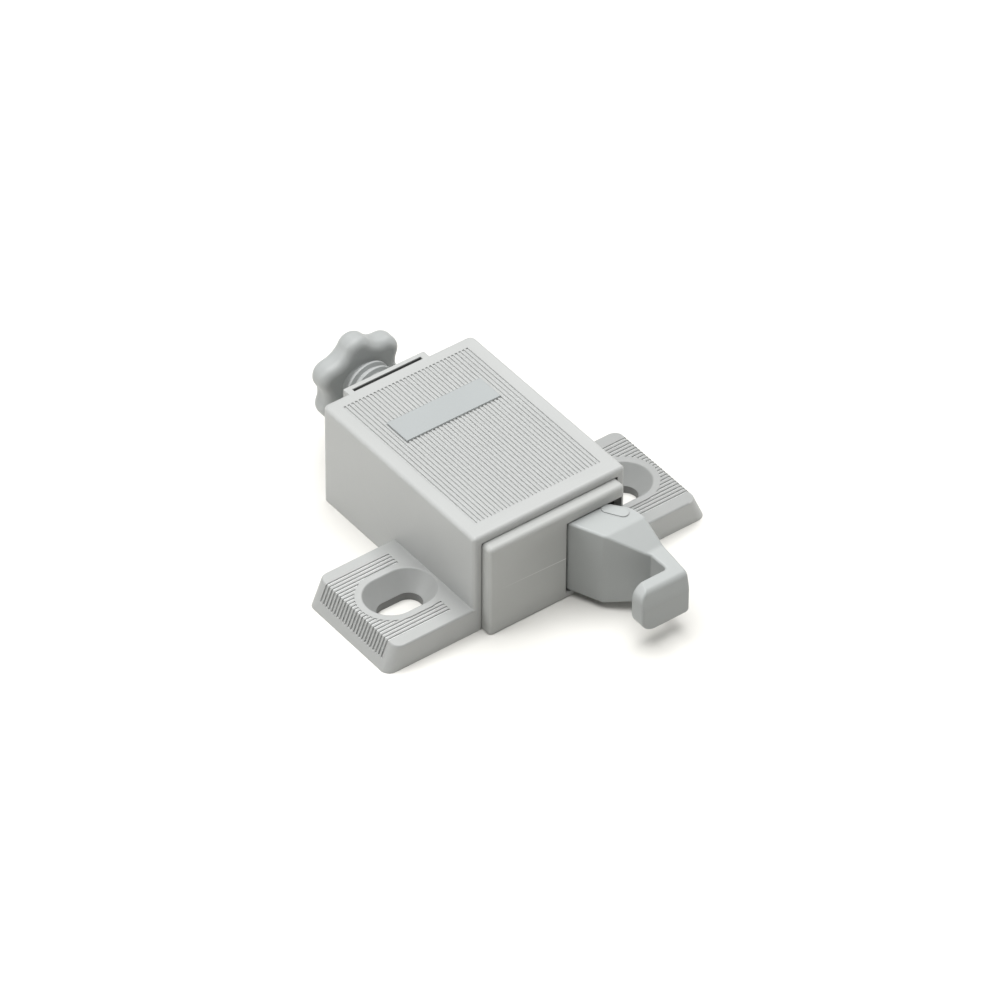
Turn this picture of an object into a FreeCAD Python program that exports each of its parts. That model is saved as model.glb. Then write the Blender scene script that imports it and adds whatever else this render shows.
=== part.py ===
import FreeCAD, Part
import math
import os
import Sketcher

# Push catch for a cupboard or pull-out, in millimetres.
# Frame: +X to the right seen from the front, -Y is the front, where the hook comes out, +Z is up.
# The origin lies on the base face, midway between the two fixing slots.
# The model stands at rest as delivered: slider out, hook swung open to the right.

# Driving sizes: alias, value, meaning
SIZES = (
    ("body_width", 40.0, "housing across its side walls"),
    ("body_length", 54.2, "housing from front rim to rear wall"),
    ("body_height", 26.1, "housing from base face to roof"),
    ("side_wall", 2.0, "housing side wall"),
    ("roof_wall", 2.0, "housing roof"),
    ("rear_wall", 2.0, "housing rear wall"),
    ("corner_round", 1.5, "upright corners of the housing"),
    ("edge_round", 0.9, "roof edges of the housing"),
    ("flange_depth", 28.5, "fixing flange, front to back"),
    ("flange_height", 6.4, "fixing flange at its top face"),
    ("flange_span", 85.5, "across both flanges at the base"),
    ("flange_lean", 2.75, "outer flange face, from its foot to its top"),
    ("flange_round", 2.2, "upright corners of the flanges"),
    ("rim_round", 0.5, "rims of the flanges and of the countersinks"),
    ("flange_shell", 1.9, "flange walls over the hollow underside"),
    ("slot_spacing", 57.7, "between the fixing slots"),
    ("slot_width", 6.3, "fixing slot across"),
    ("slot_length", 10.9, "fixing slot end to end"),
    ("slot_land", 2.0, "upright wall of the slot under its countersink"),
    ("mouth_width", 12.4, "countersink mouth across"),
    ("collar_width", 1.6, "plain collar round the countersink"),
    ("groove_pitch", 0.985, "between grip grooves"),
    ("groove_width", 0.5, "grip groove across"),
    ("groove_depth", 0.3, "grip groove into the surface"),
    ("roof_grooves", 34, "grooves across the roof"),
    ("roof_margin_front", 4.2, "front rim to the roof grooves"),
    ("roof_margin_rear", 3.1, "rear wall to the roof grooves"),
    ("flange_grooves", 23, "grooves on each flange"),
    ("flange_groove_start", 23.7, "inner end of the flange grooves, from the middle"),
    ("flange_groove_foot", 2.3, "lower end of the flange grooves above the base"),
    ("label_length", 24.8, "plain label plate across"),
    ("label_depth", 7.3, "plain label plate, front to back"),
    ("label_setback", 13.1, "label plate from the rear wall"),
    ("label_proud", 0.35, "label plate above the roof"),
    ("strap_width", 21.4, "nut strap across"),
    ("strap_reach", 2.1, "nut strap behind the rear wall"),
    ("strap_wall", 1.6, "nut strap behind its slit"),
    ("strap_side", 1.6, "solid ends of the nut strap"),
    ("slit_width", 0.85, "slit between the strap and the rear wall"),
    ("strap_foot", 7.0, "underside of the nut strap above the base"),
    ("slit_floor", 9.6, "bottom of the slit above the base"),
    ("screw_offset", -2.5, "adjusting screw from the middle plane"),
    ("screw_height", 18.1, "adjusting screw above the base"),
    ("thread_diameter", 11.8, "screw thread over its crests"),
    ("thread_depth", 0.95, "thread crest to root"),
    ("thread_pitch", 2.0, "screw thread pitch"),
    ("thread_crest", 0.28, "thread crest, share of the pitch"),
    ("thread_foot", 0.76, "thread foot, share of the pitch"),
    ("thread_gap", 0.15, "clearance of the thread in its nut"),
    ("knob_gap", 6.6, "nut strap to knob"),
    ("knob_thick", 5.8, "knob along its axis"),
    ("knob_diameter", 22.8, "knob over its lobes"),
    ("knob_waist", 18.8, "knob across the hollows between its lobes"),
    ("knob_lobes", 6, "lobes of the knob"),
    ("lobe_radius", 3.5, "round of each knob lobe"),
    ("knob_phase", 34.4, "first lobe, degrees above the right"),
    ("knob_round", 2.1, "rounded rims of the knob"),
    ("neck_diameter", 5.0, "screw neck in its socket"),
    ("neck_gap", 0.06, "running clearance round the neck"),
    ("head_diameter", 8.4, "snap head on the screw's end"),
    ("head_thick", 1.8, "snap head along its axis"),
    ("case_side_gap", 0.15, "carriage case to each side wall"),
    ("case_roof_gap", 0.2, "carriage case to the roof"),
    ("case_lift", 0.05, "carriage case above the base face"),
    ("case_reach", 2.85, "carriage case in front of the housing"),
    ("case_length", 48.6, "carriage case without its end cap"),
    ("case_front", 1.8, "front wall of the case"),
    ("case_left", 1.75, "left wall of the case"),
    ("case_right", 0.95, "right wall of the case, beside the hook"),
    ("case_floor", 1.4, "floor of the case"),
    ("case_room", 19.6, "inside height of the case"),
    ("case_round", 1.0, "front and roof edges of the case"),
    ("case_foot_round", 0.3, "bottom edges of the case"),
    ("window_width", 14.6, "hook window across"),
    ("cap_thick", 4.2, "end cap behind the case"),
    ("cap_plug", 2.5, "end cap inside the case"),
    ("plug_gap", 0.08, "end cap in the case, all round"),
    ("snap_margin", 0.7, "snaps of the end cap from the case's rear"),
    ("snap_height", 5.0, "snaps of the end cap, upright"),
    ("snap_proud", 0.6, "snaps of the end cap beyond the case's inside"),
    ("neck_wall", 1.8, "end cap between the screw's neck shoulders"),
    ("rail_offset", 14.8, "dovetail rails from the middle plane"),
    ("rail_neck", 2.6, "rail across at the roof"),
    ("rail_foot", 4.0, "rail across at its foot"),
    ("rail_drop", 1.5, "rail below the roof"),
    ("rail_gap", 0.15, "clearance of the rails"),
    ("rail_setback", 8.2, "rails behind the front rim"),
    ("adjust_in", 2.0, "carriage travel inwards"),
    ("latch_travel", 10.0, "slider travel to its lock"),
    ("over_press", 1.0, "slider travel past its lock"),
    ("swing_angle", 25.0, "hook swing between lock and rest, degrees"),
    ("slide_gap", 0.2, "slider clearance in the case"),
    ("travel_slack", 2.0, "slider's tail to the end cap when pressed right in"),
    ("track_wall_height", 16.2, "left half of the slider, floor to track face"),
    ("slider_split", 0.3, "between slider halves, from the middle plane"),
    ("pivot_offset", 11.5, "hook pivot from the middle plane"),
    ("pivot_setback", 4.6, "hook pivot behind the case front"),
    ("pin_diameter", 3.0, "hook pin"),
    ("pin_gap", 0.05, "running clearance of the hook on its pin"),
    ("ear_thick", 2.4, "each slider ear"),
    ("ear_diameter", 7.2, "slider ears round the pin"),
    ("ear_arm", 0.9, "ear arms to the right of the pivot"),
    ("ear_gap", 0.15, "hook hub to each ear"),
    ("hub_diameter", 8.0, "hook hub"),
    ("web_inset", 0.7, "web between hub and head, inside the corners of the root"),
    ("tail_room", 7.6, "pivot to the slider's face behind the hook"),
    ("hook_height", 18.9, "hook head at its root"),
    ("root_left", 9.0, "left corner of the root from the pivot"),
    ("root_front", 3.3, "left corner of the root in front of the pivot"),
    ("fold_left", 5.2, "fold, left end from the pivot"),
    ("fold_reach", 12.0, "fold in front of the pivot"),
    ("hook_fall", 29.2, "top slope beyond the fold, degrees"),
    ("second_fold", 18.5, "second fold in front of the pivot"),
    ("tip_fall", 10.8, "top slope beyond the second fold, degrees"),
    ("hook_right", 5.95, "right flank from the pivot"),
    ("shoulder_inset", 0.5, "hook shoulder inside the right flank"),
    ("shoulder_rise", 3.6, "hook shoulder behind the fold"),
    ("root_inset", 3.5, "right corner of the root inside the right flank"),
    ("root_rise", 7.7, "right corner of the root behind the fold"),
    ("neck_left", 2.6, "notch floor from the pivot"),
    ("notch_slant", 0.7, "notch floor, its rear end further left"),
    ("notch_depth", 4.3, "notch floor, front to back"),
    ("hook_reach", 27.8, "tip in front of the pivot"),
    ("tip_thick", 4.1, "tip, front to back"),
    ("tip_left", 6.7, "tip end from the pivot"),
    ("tip_foot", 4.9, "underside of the tip above the base"),
    ("tip_round", 3.6, "rounded end of the tip, seen from the front"),
    ("facet_foot", 11.5, "lower end of the tip's lead-in face above the base"),
    ("facet_back", 0.9, "lean of the tip's lead-in face"),
    ("facet_blend", 8.0, "soft foot of the lead-in face"),
    ("nose_round", 1.5, "upper front edge of the tip"),
    ("toe_round", 1.0, "right lower corner of the tip"),
    ("fold_round", 2.5, "soft folds of the hook"),
    ("shoulder_round", 4.0, "hook shoulder beside the case"),
    ("hook_round", 0.6, "edges of the hook"),
    ("pad_proud", 0.2, "glide pad above the hook"),
    ("pad_width", 2.6, "glide pad across"),
    ("pad_left", 0.8, "rear end of the glide pad, right of the pivot"),
    ("pad_rear", 5.6, "rear end of the glide pad in front of the pivot"),
    ("pad_right", 2.7, "front end of the glide pad, right of the pivot"),
    ("pad_front", 8.6, "front end of the glide pad in front of the pivot"),
    ("peg_diameter", 2.0, "guide peg"),
    ("peg_back", 5.35, "guide peg behind the pivot when locked"),
    ("peg_left", 0.8, "guide peg to the left of the pivot when locked"),
    ("peg_rise", 1.1, "guide peg into the ceiling"),
    ("guide_gap", 0.2, "guide groove round the peg"),
    ("track_offset", 8.0, "heart track to the left of the middle plane"),
    ("track_start", 2.0, "follower from the slider's tail at rest"),
    ("track_depth", 2.0, "heart track into the slider"),
    ("track_width", 1.55, "heart track channel"),
    ("island_half", 2.0, "heart island, half across"),
    ("island_shoulder", 3.6, "widest place of the heart island behind its lock"),
    ("notch_half", 1.6, "lock notch of the heart island, half across"),
    ("wire_diameter", 1.2, "track follower"),
    ("wire_lift", 0.4, "track follower above the slider"),
    ("wire_bend", 1.4, "bend of the track follower"),
    ("wire_hold", 2.0, "track follower into the end cap"),
    ("leaf_lift", 0.6, "leaf spring above the wire in its slot"),
    ("leaf_thick", 0.3, "leaf spring"),
    ("leaf_width", 3.0, "leaf spring across"),
    ("spring_offset", 8.5, "main spring from the middle plane"),
    ("spring_diameter", 7.6, "main spring over its coils"),
    ("spring_wire", 0.6, "main spring wire"),
    ("spring_coils", 8, "main spring coils"),
    ("spring_bore_gap", 0.35, "main spring in its bore"),
    ("spring_bore_depth", 14.0, "spring bore in the slider"),
    ("spring_post", 4.0, "spring post on the end cap"),
)


class Size(float):
    """A number that keeps the formula it came from, so that a feature can be bound to the sheet."""

    def __new__(cls, value, text):
        made = float.__new__(cls, value)
        made.text = text
        return made

    def _join(self, other, sign, value, swapped=False):
        first, second = (text_of(other), self.text) if swapped else (self.text, text_of(other))
        return Size(value, "(%s %s %s)" % (first, sign, second))

    def __add__(self, other):
        return self._join(other, "+", float(self) + float(other))

    def __radd__(self, other):
        return self._join(other, "+", float(other) + float(self), True)

    def __sub__(self, other):
        return self._join(other, "-", float(self) - float(other))

    def __rsub__(self, other):
        return self._join(other, "-", float(other) - float(self), True)

    def __mul__(self, other):
        return self._join(other, "*", float(self) * float(other))

    def __rmul__(self, other):
        return self._join(other, "*", float(other) * float(self), True)

    def __truediv__(self, other):
        return self._join(other, "/", float(self) / float(other))

    def __neg__(self):
        return Size(-float(self), "(0 - %s)" % self.text)


def text_of(value):
    return value.text if isinstance(value, Size) else "(%r)" % float(value)


def sine(angle):
    return Size(math.sin(math.radians(angle)), "sin(%s)" % text_of(angle))


def cosine(angle):
    return Size(math.cos(math.radians(angle)), "cos(%s)" % text_of(angle))


def tangent(angle):
    return Size(math.tan(math.radians(angle)), "tan(%s)" % text_of(angle))


def arctangent(slope):
    return Size(math.degrees(math.atan(slope)), "atan(%s)" % text_of(slope))


doc = FreeCAD.newDocument("cupboard_catch")
sheet = doc.addObject("Spreadsheet::Sheet", "sizes")
for row, (alias, value, meaning) in enumerate(SIZES, 1):
    sheet.set("A%d" % row, alias)
    sheet.set("B%d" % row, repr(value))
    sheet.set("C%d" % row, meaning)
    sheet.setAlias("B%d" % row, alias)
doc.recompute()


class Sizes:
    """Reads the sheet by alias."""

    def __getattr__(self, alias):
        return Size(float(getattr(sheet, alias)), "sizes." + alias)


s = Sizes()


# Drawing helpers

# Cutting outlines reach past the faces that they open by this much
PAST = 1.0
# Faces that turn less than this are taken as smooth
SMOOTH_TURN = math.radians(12)


def bind(thing, path, value):
    """Sets a property from a value, and ties it to the sheet when the value has a formula."""
    if isinstance(value, Size):
        thing.setExpression(path, value.text)
    else:
        setattr(thing, path, value)


def new_body(name):
    made = doc.addObject("PartDesign::Body", name)
    made.Label = name
    return made


def new_sketch(body, name, plane, level):
    """A sketch on one of the body's own planes, moved to a level along +Z, +Y or +X."""
    sketch = body.newObject("Sketcher::SketchObject", name)
    role = plane + "_Plane"
    support = [item for item in body.Origin.OriginFeatures if item.Role == role][0]
    sketch.AttachmentSupport = [(support, "")]
    sketch.MapMode = "FlatFace"
    shift = -level if plane == "XZ" else level
    sketch.AttachmentOffset = FreeCAD.Placement(FreeCAD.Vector(0, 0, float(shift)), FreeCAD.Rotation())
    if isinstance(shift, Size):
        sketch.setExpression("AttachmentOffset.Base.z", shift.text)
    return sketch


def pin(sketch, item, point, spot):
    """Holds one point of a sketch at a spot, measured from the sketch's origin."""
    for kind, value in zip(("DistanceX", "DistanceY"), spot):
        number = sketch.addConstraint(Sketcher.Constraint(kind, -1, 1, item, point, float(value)))
        if isinstance(value, Size):
            sketch.setExpression("Constraints[%d]" % number, value.text)


def polygon(sketch, corners):
    spots = [FreeCAD.Vector(float(x), float(y), 0) for x, y in corners]
    count = len(corners)
    lines = []
    for i in range(count):
        lines.append(sketch.addGeometry(Part.LineSegment(spots[i], spots[(i + 1) % count]), False))
    for i in range(count):
        sketch.addConstraint(Sketcher.Constraint("Coincident", lines[i], 2, lines[(i + 1) % count], 1))
    for line, corner in zip(lines, corners):
        pin(sketch, line, 1, corner)


def rectangle(sketch, left, right, low, high):
    polygon(sketch, [(left, low), (right, low), (right, high), (left, high)])


def circle(sketch, x, y, radius):
    ring = Part.Circle(FreeCAD.Vector(float(x), float(y), 0), FreeCAD.Vector(0, 0, 1), float(radius))
    item = sketch.addGeometry(ring, False)
    pin(sketch, item, 3, (x, y))
    number = sketch.addConstraint(Sketcher.Constraint("Radius", item, float(radius)))
    if isinstance(radius, Size):
        sketch.setExpression("Constraints[%d]" % number, radius.text)


def stadium(sketch, x, y, length, width):
    """A slot outline along X: two straight sides and two round ends, tangent where they meet."""
    half = (length - width) / 2
    radius = width / 2
    cx, cy, a, r = float(x), float(y), float(half), float(radius)
    up = FreeCAD.Vector(0, 0, 1)
    right = Part.ArcOfCircle(Part.Circle(FreeCAD.Vector(cx + a, cy, 0), up, r), -math.pi / 2, math.pi / 2)
    left = Part.ArcOfCircle(Part.Circle(FreeCAD.Vector(cx - a, cy, 0), up, r), math.pi / 2, 3 * math.pi / 2)
    top = Part.LineSegment(FreeCAD.Vector(cx + a, cy + r, 0), FreeCAD.Vector(cx - a, cy + r, 0))
    bottom = Part.LineSegment(FreeCAD.Vector(cx - a, cy - r, 0), FreeCAD.Vector(cx + a, cy - r, 0))
    ring = [sketch.addGeometry(item, False) for item in (right, top, left, bottom)]
    for i in range(4):
        sketch.addConstraint(Sketcher.Constraint("Tangent", ring[i], 2, ring[(i + 1) % 4], 1))
    pin(sketch, ring[0], 3, (x + half, y))
    pin(sketch, ring[2], 3, (x - half, y))
    for item in (ring[0], ring[2]):
        number = sketch.addConstraint(Sketcher.Constraint("Radius", item, r))
        if isinstance(radius, Size):
            sketch.setExpression("Constraints[%d]" % number, radius.text)


def leaning_stadium(sketch, x1, y1, x2, y2, width):
    """A slot outline between two centres, tangent where its sides meet its round ends."""
    first = FreeCAD.Vector(float(x1), float(y1), 0)
    last = FreeCAD.Vector(float(x2), float(y2), 0)
    r = float(width / 2)
    turn = math.atan2(last.y - first.y, last.x - first.x)
    up = FreeCAD.Vector(0, 0, 1)
    side = FreeCAD.Vector(-math.sin(turn), math.cos(turn), 0) * r
    front = Part.ArcOfCircle(Part.Circle(last, up, r), turn - math.pi / 2, turn + math.pi / 2)
    rear = Part.ArcOfCircle(Part.Circle(first, up, r), turn + math.pi / 2, turn + 3 * math.pi / 2)
    top = Part.LineSegment(last + side, first + side)
    bottom = Part.LineSegment(first - side, last - side)
    ring = [sketch.addGeometry(item, False) for item in (front, top, rear, bottom)]
    for i in range(4):
        sketch.addConstraint(Sketcher.Constraint("Tangent", ring[i], 2, ring[(i + 1) % 4], 1))
    pin(sketch, ring[0], 3, (x2, y2))
    pin(sketch, ring[2], 3, (x1, y1))
    number = sketch.addConstraint(Sketcher.Constraint("Radius", ring[0], r))
    if isinstance(width, Size):
        sketch.setExpression("Constraints[%d]" % number, (width / 2).text)


def extrude(body, kind, name, plane, low, high, draw, *sizes, **named):
    """A pad or a pocket between two levels of a plane, with its outline drawn by draw."""
    normal_is_up = plane != "XZ"
    start = low if (kind == "Pad") == normal_is_up else high
    sketch = new_sketch(body, name + "_outline", plane, start)
    outlines = named.get("outlines", (sizes,))
    for outline in outlines:
        draw(sketch, *outline)
    volume = body.Shape.Volume if body.Tip else 0
    feature = body.newObject("PartDesign::" + kind, name)
    feature.Profile = sketch
    bind(feature, "Length", high - low)
    if "taper" in named:
        bind(feature, "TaperAngle", named["taper"])
    doc.recompute()
    change = body.Shape.Volume - volume
    if not feature.isValid() or (change > 0) != (kind == "Pad") or abs(change) < 1e-6:
        raise RuntimeError("%s changes nothing" % name)
    return feature


def repeat(body, name, originals, axis, count, pitch, backwards=False):
    pattern = body.newObject("PartDesign::LinearPattern", name)
    pattern.Originals = originals
    role = axis + "_Axis"
    pattern.Direction = ([item for item in body.Origin.OriginFeatures if item.Role == role][0], [""])
    pattern.Reversed = backwards
    bind(pattern, "Length", (count - 1) * pitch)
    bind(pattern, "Occurrences", count)
    body.Tip = pattern
    doc.recompute()
    return pattern


def close_to(a, b):
    return abs(float(a) - float(b)) < 1e-4


def spans(edge, axis, low, high):
    """True for an edge that runs along an axis between two levels."""
    box = edge.BoundBox
    ends = {"x": (box.XMin, box.XMax), "y": (box.YMin, box.YMax), "z": (box.ZMin, box.ZMax)}[axis]
    return close_to(ends[0], low) and close_to(ends[1], high)


def at(edge, x=None, y=None, z=None):
    """True for an edge that lies in the planes given."""
    box = edge.BoundBox
    fits = True
    for level, low, high in ((x, box.XMin, box.XMax), (y, box.YMin, box.YMax), (z, box.ZMin, box.ZMax)):
        if level is not None:
            fits = fits and close_to(low, level) and close_to(high, level)
    return fits


def is_sharp(shape, edge):
    """True where the two faces beside an edge don't run smoothly into each other."""
    middle = edge.valueAt((edge.FirstParameter + edge.LastParameter) / 2)
    faces = shape.ancestorsOfType(edge, Part.Face)
    normals = [face.normalAt(*face.Surface.parameter(middle)) for face in faces]
    return len(normals) == 2 and normals[0].getAngle(normals[1]) > SMOOTH_TURN


def dress(body, kind, name, value, wanted):
    """A fillet or a chamfer on the edges that the test picks."""
    base = body.Tip
    names = ["Edge%d" % (i + 1) for i, edge in enumerate(base.Shape.Edges) if wanted(edge)]
    if not names:
        raise RuntimeError("%s finds no edge" % name)
    feature = body.newObject("PartDesign::" + kind, name)
    feature.Base = (base, names)
    bind(feature, "Radius" if kind == "Fillet" else "Size", value)
    doc.recompute()
    if not feature.isValid():
        raise RuntimeError("%s can't be made" % name)
    return feature


def solid_feature(name, shape):
    made = doc.addObject("Part::Feature", name)
    made.Shape = shape
    made.Label = name
    return made


# Levels and places that several pieces share

body_front = -(s.flange_depth / 2)
body_rear = body_front + s.body_length
body_side = s.body_width / 2
room_side = body_side - s.side_wall
roof_under = s.body_height - s.roof_wall
rear_inner = body_rear - s.rear_wall
strap_rear = body_rear + s.strap_reach
knob_front = strap_rear + s.knob_gap
slot_x = s.slot_spacing / 2
flange_foot = s.flange_span / 2
flange_top = flange_foot - s.flange_lean

case_side = room_side - s.case_side_gap
case_face = body_front - s.case_reach
case_back = case_face + s.case_length
case_top = roof_under - s.case_roof_gap
room_floor = s.case_lift + s.case_floor
room_top = room_floor + s.case_room
room_left = s.case_left - case_side
room_right = case_side - s.case_right
room_front = case_face + s.case_front
window_left = room_right - s.window_width
cap_back = case_back + s.cap_thick
plug_front = case_back - s.cap_plug

middle_height = room_floor + s.case_room / 2
slider_low = room_floor + s.slide_gap
slider_top = room_top - s.slide_gap
slider_front = room_front + s.slide_gap
full_travel = s.latch_travel + s.over_press
slider_back = plug_front - full_travel - s.travel_slack
track_face = slider_low + s.track_wall_height
pivot_x = s.pivot_offset
pivot_y = case_face + s.pivot_setback
slider_face = pivot_y + s.tail_room
hub_low = slider_low + s.ear_thick + s.ear_gap
hub_top = slider_top - s.ear_thick - s.ear_gap

track_x = -s.track_offset
follower_y = slider_back - s.track_start
wire_height = track_face + s.wire_lift + s.wire_diameter / 2
bore_floor = slider_back - s.spring_bore_depth
bore_radius = s.spring_diameter / 2 + s.spring_bore_gap


# Thread shared by the screw and its nut

thread_start = cap_back + s.neck_gap
thread_root = s.thread_diameter / 2 - s.thread_depth
thread_end = knob_front + s.knob_round


def along_screw(radius, low, high):
    """A cylinder about the screw axis."""
    foot = FreeCAD.Vector(float(s.screw_offset), float(low), float(s.screw_height))
    return Part.makeCylinder(float(radius), float(high - low), foot, FreeCAD.Vector(0, 1, 0))


def thread_ridge(gap, low, high):
    """The helical ridge about the screw axis, grown by a gap on every side, between two levels."""
    crest = float(s.thread_diameter / 2 + gap)
    sunk = float(thread_root - s.thread_depth / 3)
    crest_half = float(s.thread_crest * s.thread_pitch / 2 + gap)
    foot_half = float(s.thread_foot * s.thread_pitch / 2 + gap)
    pitch = float(s.thread_pitch)
    turns = math.ceil(float(thread_end - thread_start) / pitch) + 2
    helix = Part.makeHelix(pitch, turns * pitch, float(thread_root))
    corners = [(sunk, -foot_half), (crest, -crest_half), (crest, crest_half), (sunk, foot_half)]
    points = [FreeCAD.Vector(x, 0, z) for x, z in corners + corners[:1]]
    ridge = Part.Wire(helix.Edges).makePipeShell([Part.makePolygon(points)], True, True)
    ridge.Placement = FreeCAD.Placement(
        FreeCAD.Vector(float(s.screw_offset), float(thread_start) - pitch, float(s.screw_height)),
        FreeCAD.Rotation(FreeCAD.Vector(1, 0, 0), -90),
    )
    return ridge.common(along_screw(crest + PAST, low, high))


# Housing: one moulding with two fixing flanges, a grooved roof and a nut strap at the rear


def is_flange_corner(edge):
    box = edge.BoundBox
    return (box.ZLength > float(s.flange_height) - 0.01 and box.XLength > 0.5 and box.YLength < 0.01
            and min(abs(box.XMin), abs(box.XMax)) > float(flange_top) - 0.01)


def is_flange_rim(edge):
    box = edge.BoundBox
    return (close_to(box.ZMin, s.flange_height) and close_to(box.ZMax, s.flange_height)
            and min(abs(box.XMin), abs(box.XMax)) > float(body_side) - 0.01
            and not at(edge, x=body_side) and not at(edge, x=-body_side))


def is_mouth_rim(edge):
    box = edge.BoundBox
    reach = (s.slot_length - s.slot_width + s.mouth_width) / 2
    return at(edge, z=s.flange_height) and (
        close_to(max(abs(box.YMin), abs(box.YMax)), s.mouth_width / 2)
        and max(abs(box.XMin), abs(box.XMax)) < float(slot_x + reach) + 0.01)


def mouth_slope():
    return (s.mouth_width - s.slot_width) / 2 / (s.flange_height - s.slot_land)


def slots_of(width):
    """The outline of both fixing slots, grown to a width."""
    length = s.slot_length - s.slot_width + width
    return [(side * slot_x, 0.0, length, width) for side in (-1, 1)]


def rail_outline(side, gap):
    """The dovetail section of one rail, grown by a gap."""
    middle = side * s.rail_offset
    return [
        (middle - side * (s.rail_neck / 2 + gap), roof_under + s.roof_wall / 4),
        (middle + side * (s.rail_neck / 2 + gap), roof_under + s.roof_wall / 4),
        (middle + side * (s.rail_neck / 2 + gap), roof_under - gap),
        (middle + side * (s.rail_foot / 2 + gap), roof_under - s.rail_drop - gap),
        (middle - side * (s.rail_foot / 2 + gap), roof_under - s.rail_drop - gap),
        (middle - side * (s.rail_neck / 2 + gap), roof_under - gap),
    ]


def flange_groove_outline(side):
    """One grip groove seen from the front: along the flange top, then down its outer face."""
    lean = s.flange_lean / s.flange_height
    inset = s.groove_depth / cosine(arctangent(lean))
    floor = s.flange_height - s.groove_depth
    top_x = flange_top + s.groove_depth * lean - inset
    foot_x = flange_top + (s.flange_height - s.flange_groove_foot) * lean - inset
    outside = flange_foot + PAST
    above = s.flange_height + PAST
    return [
        (side * s.flange_groove_start, floor),
        (side * top_x, floor),
        (side * foot_x, s.flange_groove_foot),
        (side * outside, s.flange_groove_foot),
        (side * outside, above),
        (side * s.flange_groove_start, above),
    ]


def make_housing():
    body = new_body("housing_moulding")
    extrude(body, "Pad", "box", "XY", 0.0, s.body_height, rectangle,
            -body_side, body_side, body_front, body_rear)
    extrude(body, "Pad", "flanges", "XZ", body_front, -body_front, polygon,
            [(-flange_foot, 0.0), (flange_foot, 0.0),
             (flange_top, s.flange_height), (-flange_top, s.flange_height)])
    dress(body, "Fillet", "rear_corners", s.corner_round,
          lambda e: at(e, x=-body_side, y=body_rear) or at(e, x=body_side, y=body_rear))
    dress(body, "Fillet", "flange_corners", s.flange_round, is_flange_corner)
    dress(body, "Fillet", "front_corners", s.edge_round,
          lambda e: at(e, x=-body_side, y=body_front) or at(e, x=body_side, y=body_front))
    dress(body, "Fillet", "roof_edges", s.edge_round, lambda e: at(e, z=s.body_height))
    dress(body, "Fillet", "flange_rims", s.rim_round, is_flange_rim)
    strap_left = s.screw_offset - s.strap_width / 2
    strap_right = s.screw_offset + s.strap_width / 2
    extrude(body, "Pad", "strap", "XY", s.strap_foot, s.body_height, rectangle,
            strap_left, strap_right, body_rear - s.rear_wall / 2, strap_rear)
    dress(body, "Fillet", "strap_corners", s.edge_round,
          lambda e: at(e, x=strap_left, y=strap_rear) or at(e, x=strap_right, y=strap_rear)
          or at(e, y=strap_rear, z=s.body_height) or at(e, y=strap_rear, z=s.strap_foot))
    extrude(body, "Pocket", "room", "XZ", body_front, rear_inner, rectangle,
            -room_side, room_side, -PAST, roof_under)
    hollow_depth = s.flange_depth / 2 - s.flange_shell
    hollow_end = flange_top - s.flange_shell
    extrude(body, "Pocket", "flange_hollows", "XY", -PAST, s.flange_height - s.flange_shell, rectangle,
            outlines=[(-hollow_end, -body_side, -hollow_depth, hollow_depth),
                      (body_side, hollow_end, -hollow_depth, hollow_depth)])
    collar = s.mouth_width + 2 * s.collar_width
    extrude(body, "Pad", "slot_bosses", "XY", 0.0, s.flange_height - s.flange_shell / 2, stadium,
            outlines=slots_of(collar))
    rail_front = body_front + s.rail_setback
    extrude(body, "Pad", "rails", "XZ", rail_front, rear_inner + s.rear_wall / 2, polygon,
            outlines=[(rail_outline(-1, 0.0),), (rail_outline(1, 0.0),)])
    half_row = (s.roof_grooves - 1) * s.groove_pitch / 2
    half_groove = s.groove_width / 2
    roof_groove = extrude(body, "Pocket", "roof_groove", "XY", s.body_height - s.groove_depth,
                          s.body_height + PAST, rectangle, -half_row - half_groove, -half_row + half_groove,
                          body_front + s.roof_margin_front, body_rear - s.roof_margin_rear)
    repeat(body, "roof_groove_row", [roof_groove], "X", s.roof_grooves, s.groove_pitch)
    half_row = (s.flange_grooves - 1) * s.groove_pitch / 2
    flange_groove = extrude(body, "Pocket", "flange_groove", "XZ", -half_row - half_groove,
                            -half_row + half_groove, polygon,
                            outlines=[(flange_groove_outline(-1),), (flange_groove_outline(1),)])
    repeat(body, "flange_groove_row", [flange_groove], "Y", s.flange_grooves, s.groove_pitch)
    extrude(body, "Pad", "slot_collars", "XY", s.flange_height - s.flange_shell, s.flange_height, stadium,
            outlines=slots_of(collar))
    plate_rear = body_rear - s.label_setback
    extrude(body, "Pad", "label_plate", "XY", s.body_height - s.roof_wall / 2,
            s.body_height + s.label_proud, rectangle,
            -(s.label_length / 2), s.label_length / 2, plate_rear - s.label_depth, plate_rear)
    extrude(body, "Pocket", "slots", "XY", -PAST, s.flange_height + PAST, stadium,
            outlines=slots_of(s.slot_width))
    extrude(body, "Pocket", "countersinks", "XY", s.slot_land, s.flange_height, stadium,
            outlines=slots_of(s.mouth_width), taper=arctangent(-mouth_slope()))
    dress(body, "Fillet", "mouth_rims", s.rim_round, is_mouth_rim)
    extrude(body, "Pocket", "slit", "XY", s.slit_floor, s.body_height + PAST, rectangle,
            strap_left + s.strap_side, strap_right - s.strap_side,
            strap_rear - s.strap_wall - s.slit_width, strap_rear - s.strap_wall)
    bore = along_screw(thread_root + s.thread_gap, rear_inner - PAST, strap_rear + PAST)
    turns = thread_ridge(s.thread_gap, rear_inner - PAST, strap_rear + PAST)
    nut = solid_feature("nut_thread", bore.fuse(turns))
    return cut_from("housing", body, [nut])


# Carriage case: slides in the housing on two dovetails and holds the working parts


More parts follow.
